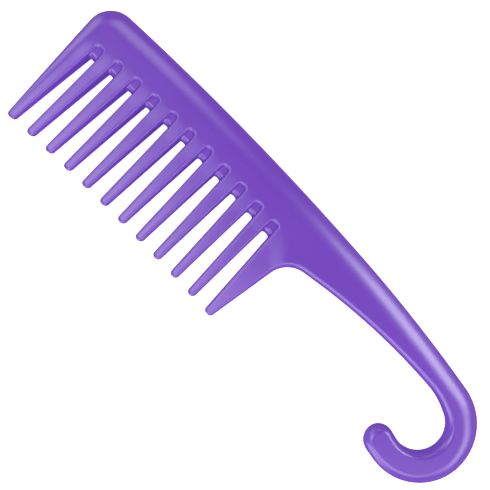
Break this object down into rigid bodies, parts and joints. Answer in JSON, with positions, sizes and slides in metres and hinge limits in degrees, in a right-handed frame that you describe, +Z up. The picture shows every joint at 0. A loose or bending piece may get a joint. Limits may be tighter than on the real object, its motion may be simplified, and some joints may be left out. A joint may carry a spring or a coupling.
{
  "type": "wide tooth comb",
  "caption": "Flat plastic comb with wide tapering teeth, a bowed back, and a handle that ends in an open hook for hanging it on a rail.",
  "frame": {"origin": "centre of the comb's bounding box, on the underside that it lies on", "axes": "+X along the comb from the heel to the hook, +Y from the teeth's tips to the outer edge of the back, +Z up, out of the upper face"},
  "size_m": [0.2395, 0.0653, 0.008],
  "materials": {
    "comb_plastic": "satin"
  },
  "bodies": {
    "root": {"back": "comb_plastic", "tooth_01": "comb_plastic", "tooth_02": "comb_plastic", "tooth_03": "comb_plastic", "tooth_04": "comb_plastic", "tooth_05": "comb_plastic", "tooth_06": "comb_plastic", "tooth_07": "comb_plastic", "tooth_08": "comb_plastic", "tooth_09": "comb_plastic", "tooth_10": "comb_plastic", "tooth_11": "comb_plastic", "tooth_12": "comb_plastic", "root_web_01": "comb_plastic", "root_web_02": "comb_plastic", "root_web_03": "comb_plastic", "root_web_04": "comb_plastic", "root_web_05": "comb_plastic", "root_web_06": "comb_plastic", "root_web_07": "comb_plastic", "root_web_08": "comb_plastic", "root_web_09": "comb_plastic", "root_web_10": "comb_plastic", "root_web_11": "comb_plastic", "handle": "comb_plastic", "hook": "comb_plastic", "hook_end": "comb_plastic"}
  },
  "joints": []
}
